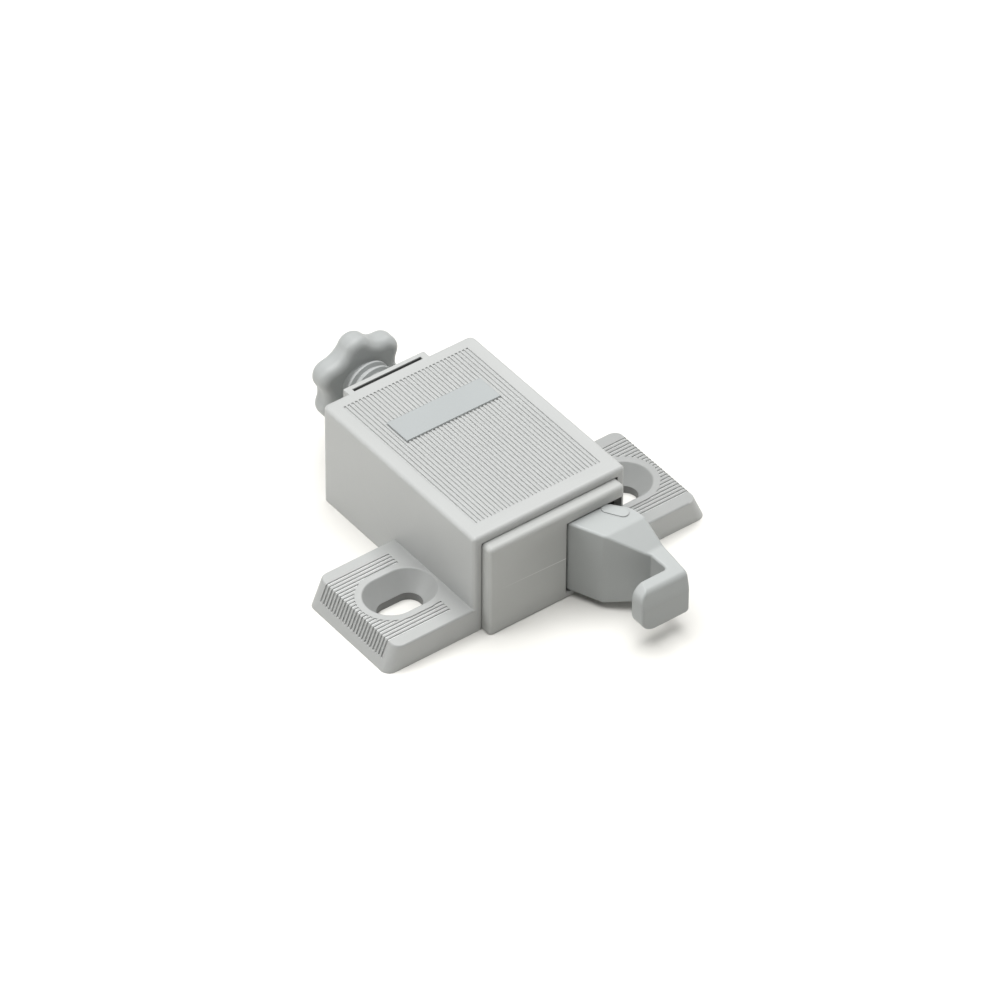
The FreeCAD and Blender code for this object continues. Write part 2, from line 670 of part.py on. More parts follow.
def rail_grooves(body, low, high):
    return extrude(body, "Pocket", "rail_grooves", "XZ", low, high, polygon,
                   outlines=[(rail_outline(-1, s.rail_gap),), (rail_outline(1, s.rail_gap),)])


def guide_path(travel):
    """The guide peg's place over the carriage case for a travel of the slider."""
    turn = math.radians(float(s.swing_angle) * (1 - travel / float(s.latch_travel)))
    back, left = float(s.peg_back), float(s.peg_left)
    return FreeCAD.Vector(
        float(pivot_x) - left * math.cos(turn) - back * math.sin(turn),
        float(pivot_y) + travel - left * math.sin(turn) + back * math.cos(turn),
        float(room_top) - PAST,
    )


def guide_cutter():
    """The curved groove in the ceiling that the guide peg runs in, round at both ends of its path."""
    radius = float(s.peg_diameter / 2 + s.guide_gap)
    last = float(full_travel)
    stops = [last * part / 6 for part in range(7)]
    small = 0.01
    rims = {1: [], -1: []}
    for travel in stops:
        forward = (guide_path(travel + small) - guide_path(travel - small)).normalize()
        across = FreeCAD.Vector(-forward.y, forward.x, 0)
        for side, rim in rims.items():
            rim.append(guide_path(travel) + across * (side * radius))
    edges = []
    for rim in rims.values():
        curve = Part.BSplineCurve()
        curve.interpolate(rim)
        edges.append(curve.toShape())
    for end, way in ((0, -1), (-1, 1)):
        travel = stops[end]
        ahead = (guide_path(travel + small) - guide_path(travel - small)).normalize() * (way * radius)
        edges.append(Part.Arc(rims[1][end], guide_path(travel) + ahead, rims[-1][end]).toShape())
    outline = Part.Wire(Part.__sortEdges__(edges))
    rise = float(s.peg_rise + s.guide_gap) + PAST
    return Part.Face(outline).extrude(FreeCAD.Vector(0, 0, rise))


def snap_windows(gap):
    """Front, rear, low and high limits of the end cap's snaps, grown by a gap."""
    return (plug_front + s.snap_margin - gap, case_back - s.snap_margin + gap,
            middle_height - s.snap_height / 2 - gap, middle_height + s.snap_height / 2 + gap)


def make_case():
    body = new_body("case_moulding")
    extrude(body, "Pad", "block", "XY", s.case_lift, case_top, rectangle,
            -case_side, case_side, case_face, case_back)
    dress(body, "Fillet", "outer_edges", s.case_round,
          lambda e: (at(e, y=case_face) or at(e, z=case_top))
          and not at(e, y=case_back) and not at(e, z=s.case_lift))
    dress(body, "Fillet", "foot_edges", s.case_foot_round,
          lambda e: at(e, z=s.case_lift) and not at(e, y=case_back))
    extrude(body, "Pocket", "room", "XZ", room_front, case_back + PAST, rectangle,
            room_left, room_right, room_floor, room_top)
    extrude(body, "Pocket", "window", "XZ", case_face - PAST, room_front + PAST, rectangle,
            window_left, room_right, room_floor, room_top)
    groove_front = body_front + s.rail_setback - s.adjust_in - s.rail_gap
    rail_grooves(body, groove_front, case_back + PAST)
    front, rear, low, high = snap_windows(s.plug_gap)
    extrude(body, "Pocket", "snap_windows", "XY", low, high, rectangle,
            -case_side - PAST, case_side + PAST, front, rear)
    guide = solid_feature("guide_groove", guide_cutter())
    return cut_from("inner_case", body, [guide])


def make_cap():
    body = new_body("case_end_cap")
    extrude(body, "Pad", "plate", "XY", s.case_lift, case_top, rectangle,
            -case_side, case_side, case_back, cap_back)
    dress(body, "Fillet", "plate_edges", s.case_round, lambda e: spans(e, "y", case_back, cap_back))
    extrude(body, "Pad", "plug", "XZ", plug_front, case_back + s.cap_thick / 2, rectangle,
            room_left + s.plug_gap, room_right - s.plug_gap, room_floor + s.plug_gap, room_top - s.plug_gap)
    front, rear, low, high = snap_windows(0.0)
    extrude(body, "Pad", "snaps", "XY", low, high, rectangle,
            room_left - s.snap_proud, room_right + s.snap_proud, front, rear)
    rail_grooves(body, case_back - PAST, cap_back + PAST)
    socket = s.head_diameter / 2 + s.thread_gap
    head_rear = cap_back - s.neck_wall
    extrude(body, "Pocket", "head_socket", "XZ", plug_front - PAST, head_rear, circle,
            s.screw_offset, s.screw_height, socket)
    extrude(body, "Pocket", "neck_bore", "XZ", plug_front, cap_back + PAST, circle,
            s.screw_offset, s.screw_height, s.neck_diameter / 2 + s.neck_gap)
    extrude(body, "Pad", "spring_post", "XZ", plug_front - s.spring_post, plug_front + PAST, circle,
            s.spring_offset, middle_height, s.spring_diameter / 2 - s.spring_wire - s.spring_bore_gap)
    extrude(body, "Pocket", "wire_hole", "XZ", plug_front - PAST, case_back + s.wire_hold, circle,
            track_x, wire_height, s.wire_diameter / 2)
    leaf_low = wire_height + s.wire_diameter / 2 + s.leaf_lift
    extrude(body, "Pocket", "leaf_slot", "XZ", plug_front - PAST, case_back, rectangle,
            track_x - s.leaf_width / 2, track_x + s.leaf_width / 2, leaf_low, leaf_low + s.leaf_thick)
    return body


# Slider: carries the hook on two ears, the heart track and the main spring


def track_outline():
    """The rim of the heart track, from its entry at the slider's tail."""
    half = s.wire_diameter / 2 + s.slide_gap
    wide = s.island_half + s.track_width
    lock = follower_y - s.latch_travel
    front = lock - s.over_press - s.track_width
    return [
        (track_x - half, follower_y + half), (track_x - half, follower_y - s.wire_diameter),
        (track_x - wide, lock + wide), (track_x - wide, lock),
        (track_x - s.island_half, front), (track_x + s.island_half, front),
        (track_x + wide, lock), (track_x + wide, lock + wide),
        (track_x + half, follower_y - s.wire_diameter), (track_x + half, follower_y + half),
    ]


def island_outline():
    """The heart island: its notch catches the follower when the slider is pushed home."""
    lock = follower_y - s.latch_travel
    notch = lock + s.wire_diameter / 2
    return [
        (track_x, follower_y - s.wire_diameter - s.over_press),
        (track_x - s.island_half, lock + s.island_shoulder),
        (track_x - s.notch_half, notch - s.wire_diameter), (track_x, notch),
        (track_x + s.notch_half, notch - s.wire_diameter),
        (track_x + s.island_half, lock + s.island_shoulder),
    ]


def make_slider():
    body = new_body("slider")
    left = room_left + s.slide_gap
    right = room_right - s.slide_gap
    extrude(body, "Pad", "track_half", "XY", slider_low, track_face, rectangle,
            left, s.slider_split, slider_front, slider_back)
    extrude(body, "Pad", "spring_half", "XY", slider_low, slider_top, rectangle,
            -s.slider_split, right, slider_face, slider_back)
    ear_radius = s.ear_diameter / 2
    arm_left = pivot_x + s.ear_arm
    for name, low in (("low_ear", slider_low), ("high_ear", slider_top - s.ear_thick)):
        extrude(body, "Pad", name, "XY", low, low + s.ear_thick, circle, pivot_x, pivot_y, ear_radius)
        extrude(body, "Pad", name + "_arm", "XY", low, low + s.ear_thick, rectangle,
                arm_left, right, pivot_y, slider_face + PAST)
    extrude(body, "Pocket", "pin_hole", "XY", slider_low - PAST, slider_top + PAST, circle,
            pivot_x, pivot_y, s.pin_diameter / 2)
    extrude(body, "Pocket", "spring_bore", "XZ", bore_floor, slider_back + PAST, circle,
            s.spring_offset, middle_height, bore_radius)
    extrude(body, "Pocket", "heart_track", "XY", track_face - s.track_depth, track_face + PAST,
            polygon, outlines=[(track_outline(),), (island_outline(),)])
    return body


# Hook: drawn about its pivot in the pose at rest


def make_hook():
    body = new_body("hook_head")
    low = middle_height - s.hook_height / 2
    high = middle_height + s.hook_height / 2
    tip_front = -(s.hook_reach)
    tip_back = tip_front + s.tip_thick
    right = s.hook_right
    shoulder_x = right - s.shoulder_inset
    shoulder_y = -s.fold_reach + s.shoulder_rise
    extrude(body, "Pad", "head", "XY", low, high, polygon, [
        (-s.root_left, -s.root_front), (-s.fold_left, -s.fold_reach),
        (s.neck_left - s.notch_slant, tip_back + s.notch_depth),
        (s.neck_left, tip_back), (s.neck_left, tip_front), (right, tip_front),
        (right, -s.fold_reach), (shoulder_x, shoulder_y),
        (right - s.root_inset, -s.fold_reach + s.root_rise)])
    dress(body, "Fillet", "shoulder", s.shoulder_round, lambda e: at(e, x=shoulder_x, y=shoulder_y))
    second_high = high - (s.second_fold - s.fold_reach) * tangent(s.hook_fall)
    fall = tangent(s.tip_fall)
    tip_top = second_high + (tip_back + s.second_fold) * fall
    extrude(body, "Pad", "tip", "XZ", tip_front, tip_back, rectangle,
            -s.tip_left, right, s.tip_foot, tip_top)
    dress(body, "Fillet", "tip_end", s.tip_round,
          lambda e: at(e, x=-s.tip_left) and e.BoundBox.YLength > 0.1)
    far = s.hook_reach + PAST
    extrude(body, "Pocket", "top_slope", "YZ", -far, far, polygon,
            [(-s.fold_reach, high), (-s.second_fold, second_high),
             (-far, second_high - (far - s.second_fold) * fall),
             (-far, high + PAST), (-s.fold_reach, high + PAST)])
    extrude(body, "Pocket", "under_slope", "YZ", -far, far, polygon,
            [(-s.fold_reach, low), (-s.fold_reach, low - PAST), (-far, low - PAST), (-far, s.tip_foot),
             (tip_back, s.tip_foot)])
    facet_top = tip_front + s.facet_back
    extrude(body, "Pocket", "lead_in", "YZ", -far, far, polygon,
            [(tip_front, s.facet_foot),
             (facet_top, second_high + (facet_top + s.second_fold) * fall), (facet_top, high),
             (-far, high), (-far, s.facet_foot)])
    dress(body, "Fillet", "toe", s.toe_round,
          lambda e: at(e, x=right) and e.BoundBox.YLength > 0.1
          and e.BoundBox.ZMax < float(s.tip_foot) + 0.01)
    dress(body, "Fillet", "lead_in_foot", s.facet_blend, lambda e: at(e, y=tip_front, z=s.facet_foot))
    dress(body, "Fillet", "nose", s.nose_round, lambda e: at(e, y=facet_top) and e.BoundBox.XLength > 0.1)
    dress(body, "Fillet", "folds", s.fold_round,
          lambda e: at(e, y=-s.fold_reach, z=high) or at(e, y=-s.second_fold, z=second_high))
    dress(body, "Fillet", "hook_edges", s.hook_round, lambda e: is_sharp(body.Tip.Shape, e))
    extrude(body, "Pad", "glide_pad", "XY", high - s.pad_proud, high + s.pad_proud, leaning_stadium,
            s.pad_left, -s.pad_rear, s.pad_right, -s.pad_front, s.pad_width)
    hub = s.hub_diameter / 2
    head = body
    body = new_body("hook_root")
    extrude(body, "Pad", "web", "XY", hub_low, hub_top, polygon, [
        (-hub, 0.0), (-s.root_left + s.web_inset, -s.root_front - s.web_inset),
        (-s.fold_left, -s.fold_reach + s.shoulder_rise),
        (right - s.root_inset - s.web_inset, -s.fold_reach + s.root_rise - s.web_inset), (hub, 0.0)])
    extrude(body, "Pad", "hub", "XY", hub_low, hub_top, circle, 0.0, 0.0, s.hub_diameter / 2)
    peg_x, peg_y = rest_peg()
    along = cosine(s.swing_angle)
    across = sine(s.swing_angle)
    arm = s.peg_diameter / 2 + s.guide_gap
    extrude(body, "Pad", "peg_arm", "XY", middle_height, hub_top, circle, peg_x, peg_y, arm)
    extrude(body, "Pad", "peg_arm_web", "XY", middle_height, hub_top, polygon, [
        (peg_x - arm * along, peg_y - arm * across), (-hub * along, -hub * across),
        (hub * along, hub * across), (peg_x + arm * along, peg_y + arm * across)])
    extrude(body, "Pad", "guide_peg", "XY", hub_top - PAST, room_top + s.peg_rise, circle,
            peg_x, peg_y, s.peg_diameter / 2)
    extrude(body, "Pocket", "pin_bore", "XY", low - PAST, high + PAST, circle,
            0.0, 0.0, s.pin_diameter / 2 + s.pin_gap)
    hook = doc.addObject("Part::MultiFuse", "hook")
    hook.Shapes = [head, body]
    hook.setExpression("Placement.Base.x", pivot_x.text)
    hook.setExpression("Placement.Base.y", pivot_y.text)
    doc.recompute()
    return hook


def rest_peg():
    """The guide peg from the pivot with the slider at rest, drawn straight behind it when locked."""
    along = cosine(s.swing_angle)
    across = sine(s.swing_angle)
    return (-(s.peg_left * along) - s.peg_back * across, s.peg_back * along - s.peg_left * across)


def make_pin():
    made = doc.addObject("Part::Cylinder", "hook_pin")
    made.setExpression("Radius", (s.pin_diameter / 2).text)
    made.setExpression("Height", (slider_top - slider_low).text)
    made.setExpression("Placement.Base.x", pivot_x.text)
    made.setExpression("Placement.Base.y", pivot_y.text)
    made.setExpression("Placement.Base.z", slider_low.text)
    return made


# Springs and wire


def swept(path, start, along, radius):
    """A round wire along a path."""
    ring = Part.Wire([Part.Circle(start, along, float(radius)).toShape()])
    return path.makePipe(Part.Face(ring))


def make_main_spring():
    """A coil of half turns, each a half circle in its own tilted plane, with a closed coil at each end."""
    radius = float(s.spring_diameter - s.spring_wire) / 2
    wire = float(s.spring_wire) / 2
    length = float(plug_front - bore_floor) - 2 * wire
    coils = int(s.spring_coils)
    closed = float(s.spring_wire + s.neck_gap) / 2
    rises = [closed] * 2 + [(length - 4 * closed) / (2 * coils)] * (2 * coils) + [closed] * 2
    arcs = []
    level = 0.0
    side = 1
    for rise in rises:
        middle = FreeCAD.Vector(0, side * math.hypot(radius, rise / 2), level + rise / 2)
        first = FreeCAD.Vector(side * radius, 0, level)
        last = FreeCAD.Vector(-side * radius, 0, level + rise)
        arcs.append(Part.Arc(first, middle, last).toShape())
        level += rise
        side = -side
    start = FreeCAD.Vector(radius, 0, 0)
    made = solid_feature("main_spring", swept(Part.Wire(arcs), start, FreeCAD.Vector(0, 1, 0), wire))
    made.Placement = FreeCAD.Placement(
        FreeCAD.Vector(float(s.spring_offset), float(bore_floor) + wire, float(middle_height)),
        FreeCAD.Rotation(FreeCAD.Vector(1, 0, 0), -90),
    )
    return made


def make_follower():
    """A straight wire from the end cap, bent down into the heart track."""
    rear = float(case_back + s.wire_hold)
    bend = float(s.wire_bend)
    front = float(follower_y)
    foot = float(track_face - s.track_depth + s.slide_gap)
    height = float(wire_height)
    x = float(track_x)
    corner = FreeCAD.Vector(x, front + bend * (1 - math.sqrt(0.5)), height - bend * (1 - math.sqrt(0.5)))
    first = FreeCAD.Vector(x, rear, height)
    bend_start = FreeCAD.Vector(x, front + bend, height)
    bend_end = FreeCAD.Vector(x, front, height - bend)
    last = FreeCAD.Vector(x, front, foot)
    path = Part.Wire([
        Part.LineSegment(first, bend_start).toShape(),
        Part.Arc(bend_start, corner, bend_end).toShape(),
        Part.LineSegment(bend_end, last).toShape(),
    ])
    shape = swept(path, first, FreeCAD.Vector(0, -1, 0), s.wire_diameter / 2)
    return solid_feature("track_follower", shape)


def make_leaf():
    """A flat leaf that leans down on the wire just behind its bend."""
    body = new_body("follower_spring")
    thick = s.leaf_thick
    touch = wire_height + s.wire_diameter / 2
    low = touch + s.leaf_lift
    tip = follower_y + s.wire_bend
    bend = (plug_front - tip) / 4
    extrude(body, "Pad", "leaf", "YZ", track_x - s.leaf_width / 2, track_x + s.leaf_width / 2, polygon, [
        (case_back - thick, low), (plug_front - bend, low), (tip + bend, touch),
        (tip, touch + thick), (tip, touch + 2 * thick), (tip + bend, touch + thick),
        (plug_front - bend, low + thick), (case_back - thick, low + thick)])
    return body


# Knob and screw: one moulding


def knob_grip():
    """The lobed grip: lobes and hollows are circles that touch each other."""
    lobe = float(s.lobe_radius)
    centre = float(s.knob_diameter) / 2 - lobe
    waist = float(s.knob_waist) / 2
    count = int(s.knob_lobes)
    half_step = math.pi / count
    reach = centre * math.cos(half_step)
    hollow = (centre ** 2 + waist ** 2 - 2 * waist * reach - lobe ** 2) / (2 * (lobe + reach - waist))
    arcs = []
    start = math.radians(float(s.knob_phase))

    def spot(angle, radius):
        return FreeCAD.Vector(radius * math.cos(angle), 0, radius * math.sin(angle))

    def touch(lobe_angle, hollow_angle):
        first = spot(lobe_angle, centre)
        return first + (spot(hollow_angle, waist + hollow) - first) * (lobe / (lobe + hollow))

    for number in range(count):
        angle = start + 2 * half_step * number
        after = angle + 2 * half_step
        arcs.append(Part.Arc(touch(angle, angle - half_step), spot(angle, centre + lobe),
                             touch(angle, angle + half_step)).toShape())
        arcs.append(Part.Arc(touch(angle, angle + half_step), spot(angle + half_step, waist),
                             touch(after, angle + half_step)).toShape())
    grip = Part.Face(Part.Wire(arcs)).extrude(FreeCAD.Vector(0, float(s.knob_thick), 0))
    grip.translate(FreeCAD.Vector(float(s.screw_offset), float(knob_front), float(s.screw_height)))
    rims = [edge for edge in grip.Edges if edge.BoundBox.YLength < 0.01]
    return grip.makeFillet(float(s.knob_round), rims)


def make_knob():
    grip = solid_feature("knob_grip", knob_grip())
    ridge = solid_feature("screw_thread", thread_ridge(0.0, thread_start, thread_end))
    shank = new_body("screw_shank")
    neck_front = cap_back - s.neck_wall - s.neck_gap
    extrude(shank, "Pad", "core", "XZ", thread_start, thread_end, circle,
            s.screw_offset, s.screw_height, thread_root)
    extrude(shank, "Pad", "neck", "XZ", neck_front - s.head_thick / 2, thread_start + PAST, circle,
            s.screw_offset, s.screw_height, s.neck_diameter / 2)
    extrude(shank, "Pad", "head", "XZ", neck_front - s.head_thick, neck_front, circle,
            s.screw_offset, s.screw_height, s.head_diameter / 2)
    dress(shank, "Chamfer", "head_lead", s.head_thick / 2, lambda e: at(e, y=neck_front - s.head_thick))
    knob = doc.addObject("Part::MultiFuse", "adjusting_knob")
    knob.Shapes = [shank, ridge, grip]
    return knob


def cut_from(name, base, tools):
    made = doc.addObject("Part::Cut", name)
    made.Base = base
    made.Tool = tools[0]
    return made


pieces = {
    "housing": make_housing(),
    "inner_case": make_case(),
    "case_end_cap": make_cap(),
    "slider": make_slider(),
    "hook": make_hook(),
    "hook_pin": make_pin(),
    "main_spring": make_main_spring(),
    "track_follower": make_follower(),
    "follower_spring": make_leaf(),
    "adjusting_knob": make_knob(),
}

doc.recompute()
for item in doc.Objects:
    if "Invalid" in item.State or "Error" in item.State:
        raise RuntimeError("%s doesn't compute" % item.Label)

os.makedirs("parts", exist_ok=True)
for name, piece in pieces.items():
    piece.Label = name
    shape = piece.Shape
    if shape.isNull() or not shape.isValid() or len(shape.Solids) != 1:
        raise RuntimeError("%s isn't one sound solid" % name)
    shape.exportStep("parts/%s.step" % name)
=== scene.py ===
import math

import bpy
from mathutils import Matrix, Vector


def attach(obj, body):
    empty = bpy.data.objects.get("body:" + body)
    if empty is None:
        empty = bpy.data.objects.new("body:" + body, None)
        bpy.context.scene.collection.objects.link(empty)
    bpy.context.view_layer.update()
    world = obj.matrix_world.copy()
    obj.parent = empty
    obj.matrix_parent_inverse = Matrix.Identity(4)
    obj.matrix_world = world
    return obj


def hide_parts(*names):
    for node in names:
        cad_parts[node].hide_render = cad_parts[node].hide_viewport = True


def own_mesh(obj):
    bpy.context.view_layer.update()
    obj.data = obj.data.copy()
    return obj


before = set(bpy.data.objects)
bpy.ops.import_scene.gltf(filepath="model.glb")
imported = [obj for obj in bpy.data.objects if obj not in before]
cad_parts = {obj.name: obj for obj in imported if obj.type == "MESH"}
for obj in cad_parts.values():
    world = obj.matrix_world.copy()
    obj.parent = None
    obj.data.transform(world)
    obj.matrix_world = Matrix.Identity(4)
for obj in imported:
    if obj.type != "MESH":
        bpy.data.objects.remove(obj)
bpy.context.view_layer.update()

# Viewing position, from the perspective of the photograph (degrees and metres; the lens in mm)
AZIMUTH = -37.257
ELEVATION = 41.190
ROLL = 0.403
DISTANCE = 1.57522
SIDE_SHIFT = -0.001826
UP_SHIFT = 0.012758
LENS = 265.28
SENSOR = 36.0

# Plain colours, linear light
HOUSING_GREY = (0.398, 0.406, 0.400)
LABEL_GREY = (0.328, 0.347, 0.348)
CASE_GREY = (0.384, 0.391, 0.380)
HOOK_GREY = (0.364, 0.380, 0.376)
SLIDER_GREY = (0.365, 0.371, 0.367)
KNOB_GREY = (0.340, 0.353, 0.350)
PIN_STEEL = (0.56, 0.56, 0.57)
SPRING_STEEL = (0.42, 0.42, 0.43)
FLOOR_WHITE = (0.76, 0.75, 0.72)
AMBIENT = (0.174, 0.174, 0.168)

# Level faces of the housing above its base, and the depth of the grip grooves in them (metres)
FLANGE_TOP = 0.0064
ROOF_TOP = 0.0261
LABEL_FOOT = 0.02618
GROOVE_DEPTH = 0.0003
LEVEL_SLACK = 0.00006

# Where the flanges start beside the middle plane, how far the painted shade beside the left wall fades,
# and the outer end of the right countersink (metres)
FLANGE_INNER = 0.0201
WALL_FADE = 0.008
MOUTH_END = 0.0378

# Where the plastic lies deep in shade, as limits along the three axes (metres). The first pair is
# measured from the middle plane to both sides, apart from the slit's.
FIXING_SLOTS = ((0.0232, 0.0345), (-0.0032, 0.0032), (-0.001, 0.00195))
HOUSING_ROOM = ((-0.001, 0.01805), (-0.0141, 0.0380), (-0.001, 0.0242))
CASE_ROOM = ((-0.001, 0.0172), (-0.0146, 0.1), (-0.001, 0.0232))
SLIT = ((-0.0117, 0.0067), (0.0395, 0.0405), (0.0095, 0.0258))

# The seam across the case's front: its ends, half its width and how far back it may show (metres)
SEAM_RIGHT = (0.0021, 0.01132)
SEAM_LEFT = (-0.0156, 0.01190)
SEAM_HALF = 0.00014
SEAM_DEPTH = -0.0165

# Painted shade and painted light, as shares of the plain colour
SHADE = 0.35
SIDE_PAINTED_SHADE = 0.78
LEAN_PAINTED_SHADE = 0.82
WALL_PAINTED_SHADE = 0.82
LABEL_WALL_PAINTED_LIGHT = 1.35
FLANGE_GROOVE_PAINTED_LIGHT = 1.75
ROOF_GROOVE_PAINTED_LIGHT = 1.20
SEAM_PAINTED_HIGHLIGHT = 1.8

# Softened moulding edges (metres)
EDGE_SOFTENING = 0.00025

UNIT = (0.0, 1.0)


# Shader nodes


def new_material(name):
    made = bpy.data.materials.new(name)
    made.use_nodes = True
    tree = made.node_tree
    return made, tree, tree.nodes["Principled BSDF"]


def add_node(tree, kind, **values):
    node = tree.nodes.new(kind)
    for key, value in values.items():
        if key in node.inputs:
            node.inputs[key].default_value = value
        else:
            setattr(node, key, value)
    return node


def noise(tree, coords, scale, detail):
    node = add_node(tree, "ShaderNodeTexNoise", Scale=scale, Detail=detail)
    tree.links.new(coords, node.inputs["Vector"])
    return node.outputs["Fac"]


def remap(tree, value, source, target):
    """Turns the source's limits into the target's, and stays level beyond them."""
    node = add_node(tree, "ShaderNodeMapRange")
    tree.links.new(value, node.inputs["Value"])
    node.inputs["From Min"].default_value, node.inputs["From Max"].default_value = source
    node.inputs["To Min"].default_value, node.inputs["To Max"].default_value = target
    return node.outputs["Result"]


def math_node(tree, operation, *values):
    node = add_node(tree, "ShaderNodeMath", operation=operation)
    for socket, value in zip(node.inputs, values):
        if isinstance(value, (int, float)):
            socket.default_value = value
        else:
            tree.links.new(value, socket)
    return node.outputs[0]


def bump(tree, height, strength, distance, normal=None):
    node = add_node(tree, "ShaderNodeBump", Strength=strength, Distance=distance)
    tree.links.new(height, node.inputs["Height"])
    if normal is not None:
        tree.links.new(normal, node.inputs["Normal"])
    return node.outputs["Normal"]


def coordinates(tree, kind):
    """The three parts of a point's place, or of its surface's direction."""
    split = add_node(tree, "ShaderNodeSeparateXYZ")
    tree.links.new(add_node(tree, "ShaderNodeTexCoord").outputs[kind], split.inputs[0])
    return split.outputs


def place_of(tree):
    return coordinates(tree, "Object")


def facing_up(tree):
    """1 on level faces, 0 on upright ones and -1 on undersides."""
    return coordinates(tree, "Normal")["Z"]


# Masks: 1 where something holds, and 0 elsewhere


def all_of(tree, *masks):
    whole = masks[0]
    for mask in masks[1:]:
        whole = math_node(tree, "MULTIPLY", whole, mask)
    return whole


def above(tree, value, limit):
    return math_node(tree, "GREATER_THAN", value, limit)


def below(tree, value, limit):
    return math_node(tree, "LESS_THAN", value, limit)


def inside(tree, box, both_sides=True):
    place = place_of(tree)
    across = math_node(tree, "ABSOLUTE", place["X"]) if both_sides else place["X"]
    masks = []
    for value, (low, high) in zip((across, place["Y"], place["Z"]), box):
        masks.append(above(tree, value, low))
        masks.append(below(tree, value, high))
    return all_of(tree, *masks)


def not_underneath(tree):
    return above(tree, facing_up(tree), -0.5)


# Plastic


def moulded_plastic(name, colour, rough):
    """Fine eroded grain, slow tone changes from the flow of the melt, and a painted highlight on the
    edges.
    """
    made, tree, shader = new_material(name)
    coords = add_node(tree, "ShaderNodeTexCoord").outputs["Object"]
    tone = remap(tree, noise(tree, coords, 55.0, 3.0), UNIT, (0.965, 1.035))
    speck = remap(tree, noise(tree, coords, 2600.0, 2.0), UNIT, (0.985, 1.015))
    edge = add_node(tree, "ShaderNodeNewGeometry").outputs["Pointiness"]
    # Convex edges are lifted in tone: a painted highlight where they catch the light.
    edge_highlight = remap(tree, edge, (0.52, 0.62), (0.0, 0.05))
    tint = add_node(tree, "ShaderNodeVectorMath", operation="SCALE")
    tint.name = "tint"
    tint.inputs[0].default_value = colour
    lift = math_node(tree, "ADD", math_node(tree, "MULTIPLY", tone, speck), edge_highlight)
    tree.links.new(lift, tint.inputs["Scale"])
    tree.links.new(tint.outputs["Vector"], shader.inputs["Base Color"])
    gloss = remap(tree, noise(tree, coords, 140.0, 4.0), UNIT, (rough - 0.05, rough + 0.06))
    tree.links.new(gloss, shader.inputs["Roughness"])
    soft = add_node(tree, "ShaderNodeBevel", Radius=EDGE_SOFTENING, samples=6).outputs["Normal"]
    grain = bump(tree, noise(tree, coords, 3800.0, 3.0), 0.16, 0.00006, soft)
    sink = bump(tree, noise(tree, coords, 90.0, 1.0), 0.10, 0.0005, grain)
    tree.links.new(sink, shader.inputs["Normal"])
    shader.inputs["IOR"].default_value = 1.49
    return made


def tone_where(tree, mask, share):
    """Multiplies the plastic's tone by a share where the mask is 1."""
    tint = tree.nodes["tint"]
    before = tint.inputs["Scale"].links[0].from_socket
    factor = math_node(tree, "ADD", 1.0, math_node(tree, "MULTIPLY", mask, share - 1.0))
    tree.links.new(math_node(tree, "MULTIPLY", before, factor), tint.inputs["Scale"])


def add_label_tone(tree):
    """The label plate is a little cooler in colour than the roof round it."""
    plate = above(tree, place_of(tree)["Z"], LABEL_FOOT)
    mix = add_node(tree, "ShaderNodeMix", data_type="VECTOR")
    tree.links.new(plate, mix.inputs["Factor"])
    mix.inputs["A"].default_value = HOUSING_GREY
    mix.inputs["B"].default_value = LABEL_GREY
    tree.links.new(mix.outputs["Result"], tree.nodes["tint"].inputs[0])
    # The plate's upright walls are painted lighter: painted light that offsets the shade on them.
    wall = all_of(tree, plate, below(tree, facing_up(tree), 0.5))
    tone_where(tree, wall, LABEL_WALL_PAINTED_LIGHT)


def add_housing_shade(tree):
    tone_where(tree, all_of(tree, inside(tree, FIXING_SLOTS), not_underneath(tree)), SHADE)
    tone_where(tree, inside(tree, HOUSING_ROOM), SHADE)
    tone_where(tree, inside(tree, SLIT, both_sides=False), SHADE)


def add_flange_painted_shade(tree):
    """Painted shade on the countersinks, on the left flange's leaning end and beside the left wall."""
    place = place_of(tree)
    upward = facing_up(tree)
    flange = all_of(
        tree,
        below(tree, place["Z"], FLANGE_TOP + LEVEL_SLACK),
        above(tree, math_node(tree, "ABSOLUTE", place["X"]), FLANGE_INNER))
    # Painted shade on the countersinks and the left flange's leaning end, by how steeply they lean.
    leaning = all_of(
        tree,
        flange,
        below(tree, place["X"], MOUTH_END),
        remap(tree, upward, (0.15, 0.45), UNIT),
        remap(tree, upward, (0.97, 0.90), UNIT))
    tone_where(tree, leaning, LEAN_PAINTED_SHADE)
    # Painted shade beside the left wall, fading outwards.
    painted_shade_beside_wall = all_of(
        tree,
        flange,
        remap(tree, upward, (0.90, 0.97), UNIT),
        remap(tree, place["X"], (-FLANGE_INNER - WALL_FADE, -FLANGE_INNER), UNIT))
    tone_where(tree, painted_shade_beside_wall, WALL_PAINTED_SHADE)


def add_groove_painted_light(tree, top, share):
    """The floors of the grip grooves under a level face are painted lighter than the face: painted light
    that offsets their shade.
    """
    height = place_of(tree)["Z"]
    floor = top - GROOVE_DEPTH
    grooves = all_of(
        tree,
        above(tree, height, floor - LEVEL_SLACK),
        below(tree, height, floor + LEVEL_SLACK),
        above(tree, facing_up(tree), 0.9))
    tone_where(tree, grooves, share)


def add_side_painted_shade(tree):
    """The hook's upright faces are painted darker than its top: painted shade."""
    tone_where(tree, remap(tree, facing_up(tree), (0.55, 0.05), UNIT), SIDE_PAINTED_SHADE)


def add_case_shade(tree):
    tone_where(tree, all_of(tree, inside(tree, CASE_ROOM), not_underneath(tree)), SHADE)


